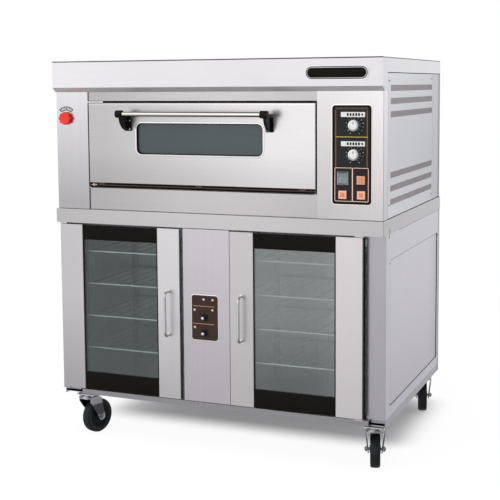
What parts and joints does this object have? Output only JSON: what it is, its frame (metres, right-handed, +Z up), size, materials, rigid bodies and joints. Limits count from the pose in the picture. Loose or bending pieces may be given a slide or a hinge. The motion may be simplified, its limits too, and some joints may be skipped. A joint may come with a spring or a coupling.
{
  "type": "deck oven",
  "caption": "Electric deck oven with a drop-down glazed door on a two-door proving cabinet with wire shelves and swivel castors.",
  "frame": {"origin": "on the floor under the middle of the object's box", "axes": "+Z up; the front, with the doors and controls, faces -Y; +X is to the right of a person facing the front"},
  "size_m": [1.228, 0.94, 1.378],
  "materials": {
    "badge_plate": "gloss",
    "bar_chrome": "polished",
    "bezel_plate": "satin",
    "black_plastic": "matte",
    "casing_steel": "brushed",
    "castor_tyre": "matte",
    "door_steel": "brushed",
    "element_steel": "matte",
    "hearth_steel": "matte",
    "liner_steel": "satin",
    "mineral_wool": "rough",
    "orange_plastic": "gloss",
    "oven_glass": "gloss",
    "prover_glass": "gloss",
    "rack_steel": "satin",
    "red_plastic": "gloss",
    "seal_rubber": "matte",
    "zinc_steel": "satin"
  },
  "bodies": {
    "casing": {"castor_plates": "zinc_steel", "centre_panel": "casing_steel", "chamber_liner": "liner_steel", "control_bezel": "bezel_plate", "control_column": "casing_steel", "control_gear": "black_plastic", "door_gasket": "seal_rubber", "exhaust_duct": "liner_steel", "hearth_plate": "hearth_steel", "heating_elements": "element_steel", "insulation_jacket": "mineral_wool", "left_front_column": "casing_steel", "nameplate": "badge_plate", "oven_canopy": "casing_steel", "oven_front_frame": "casing_steel", "oven_rear_casing": "casing_steel", "oven_side_panel_left": "casing_steel", "oven_side_panel_right": "casing_steel", "oven_top_cover": "casing_steel", "power_inlet": "black_plastic", "proofing_racks": "rack_steel", "prover_collar": "casing_steel", "prover_control_plate": "bezel_plate", "prover_frame": "casing_steel", "prover_hinge_brackets": "zinc_steel", "prover_liner": "liner_steel", "prover_rear_casing": "casing_steel", "prover_side_plates": "casing_steel", "water_pan": "liner_steel"},
    "oven_door": {"oven_door_skin": "door_steel", "oven_door_inner_panel": "door_steel", "oven_door_outer_glass": "oven_glass", "oven_door_inner_glass": "oven_glass", "door_handle_bar": "bar_chrome", "door_handle_brackets": "black_plastic", "door_hinge_shaft": "zinc_steel"},
    "dial_top": {"temperature_knob_top": "black_plastic"},
    "dial_bottom": {"temperature_knob_bottom": "black_plastic"},
    "rocker": {"rocker_switch": "black_plastic"},
    "button_heat": {"push_button_heat": "orange_plastic"},
    "button_lamp": {"push_button_lamp": "orange_plastic"},
    "button_steam": {"push_button_steam": "orange_plastic"},
    "damper": {"damper_knob": "red_plastic", "damper_flap": "zinc_steel"},
    "humidity_dial": {"prover_knob_humidity": "black_plastic"},
    "heat_dial": {"prover_knob_heat": "black_plastic"},
    "left_door": {"left_door_stiles": "casing_steel", "left_door_glass": "prover_glass", "left_door_pull": "bar_chrome"},
    "right_door": {"right_door_stiles": "casing_steel", "right_door_glass": "prover_glass", "right_door_pull": "bar_chrome"},
    "castor_front_left": {"castor_fork_front_left": "zinc_steel"},
    "wheel_front_left": {"castor_wheel_front_left": "castor_tyre"},
    "castor_front_right": {"castor_fork_front_right": "zinc_steel"},
    "wheel_front_right": {"castor_wheel_front_right": "castor_tyre"},
    "castor_rear_left": {"castor_fork_rear_left": "zinc_steel"},
    "wheel_rear_left": {"castor_wheel_rear_left": "castor_tyre"},
    "castor_rear_right": {"castor_fork_rear_right": "zinc_steel"},
    "wheel_rear_right": {"castor_wheel_rear_right": "castor_tyre"}
  },
  "joints": [
    {"name": "oven_door_hinge", "type": "hinge", "parent": "casing", "child": "oven_door", "pos_m": [0, -0.389, 0.936], "axis": [1, 0, 0], "range_deg": [0, 90]},
    {"name": "left_door_hinge", "type": "hinge", "parent": "casing", "child": "left_door", "pos_m": [-0.591, -0.387, 0.486], "axis": [0, 0, -1], "range_deg": [0, 110]},
    {"name": "right_door_hinge", "type": "hinge", "parent": "casing", "child": "right_door", "pos_m": [0.529, -0.387, 0.486], "axis": [0, 0, 1], "range_deg": [0, 110]},
    {"name": "dial_top_turn", "type": "hinge", "parent": "casing", "child": "dial_top", "pos_m": [0.514, -0.395, 1.1565], "axis": [0, 1, 0], "range_deg": [0, 270]},
    {"name": "dial_bottom_turn", "type": "hinge", "parent": "casing", "child": "dial_bottom", "pos_m": [0.514, -0.395, 1.0615], "axis": [0, 1, 0], "range_deg": [0, 270]},
    {"name": "humidity_dial_turn", "type": "hinge", "parent": "casing", "child": "humidity_dial", "pos_m": [-0.032, -0.395, 0.482], "axis": [0, 1, 0], "range_deg": [0, 270]},
    {"name": "heat_dial_turn", "type": "hinge", "parent": "casing", "child": "heat_dial", "pos_m": [-0.032, -0.395, 0.427], "axis": [0, 1, 0], "range_deg": [0, 270]},
    {"name": "rocker_tilt", "type": "hinge", "parent": "casing", "child": "rocker", "pos_m": [0.4735, -0.394, 0.984], "axis": [1, 0, 0], "range_deg": [-9, 9]},
    {"name": "damper_turn", "type": "hinge", "parent": "casing", "child": "damper", "pos_m": [-0.569, -0.395, 1.174], "axis": [0, 1, 0], "range_deg": [0, 90]},
    {"name": "button_heat_press", "type": "slide", "parent": "casing", "child": "button_heat", "axis": [0, 1, 0], "range_m": [0, 0.0035], "stiffness_N_per_m": 400},
    {"name": "button_lamp_press", "type": "slide", "parent": "casing", "child": "button_lamp", "axis": [0, 1, 0], "range_m": [0, 0.0035], "stiffness_N_per_m": 400},
    {"name": "button_steam_press", "type": "slide", "parent": "casing", "child": "button_steam", "axis": [0, 1, 0], "range_m": [0, 0.0035], "stiffness_N_per_m": 400},
    {"name": "swivel_front_left", "type": "hinge", "parent": "casing", "child": "castor_front_left", "pos_m": [-0.52, -0.357, 0.14], "axis": [0, 0, 1], "continuous": true},
    {"name": "roll_front_left", "type": "hinge", "parent": "castor_front_left", "child": "wheel_front_left", "pos_m": [-0.50953, -0.32047, 0.0625], "axis": [-0.9613, 0.2756, 0], "continuous": true},
    {"name": "swivel_front_right", "type": "hinge", "parent": "casing", "child": "castor_front_right", "pos_m": [0.575, -0.357, 0.14], "axis": [0, 0, 1], "continuous": true},
    {"name": "roll_front_right", "type": "hinge", "parent": "castor_front_right", "child": "wheel_front_right", "pos_m": [0.56453, -0.32047, 0.0625], "axis": [-0.9613, -0.2756, 0], "continuous": true},
    {"name": "swivel_rear_left", "type": "hinge", "parent": "casing", "child": "castor_rear_left", "pos_m": [-0.52, 0.333, 0.14], "axis": [0, 0, 1], "continuous": true},
    {"name": "roll_rear_left", "type": "hinge", "parent": "castor_rear_left", "child": "wheel_rear_left", "pos_m": [-0.52331, 0.37085, 0.0625], "axis": [-0.9962, -0.0872, 0], "continuous": true},
    {"name": "swivel_rear_right", "type": "hinge", "parent": "casing", "child": "castor_rear_right", "pos_m": [0.575, 0.333, 0.14], "axis": [0, 0, 1], "continuous": true},
    {"name": "roll_rear_right", "type": "hinge", "parent": "castor_rear_right", "child": "wheel_rear_right", "pos_m": [0.56581, 0.36987, 0.0625], "axis": [-0.9703, -0.2419, 0], "continuous": true}
  ]
}
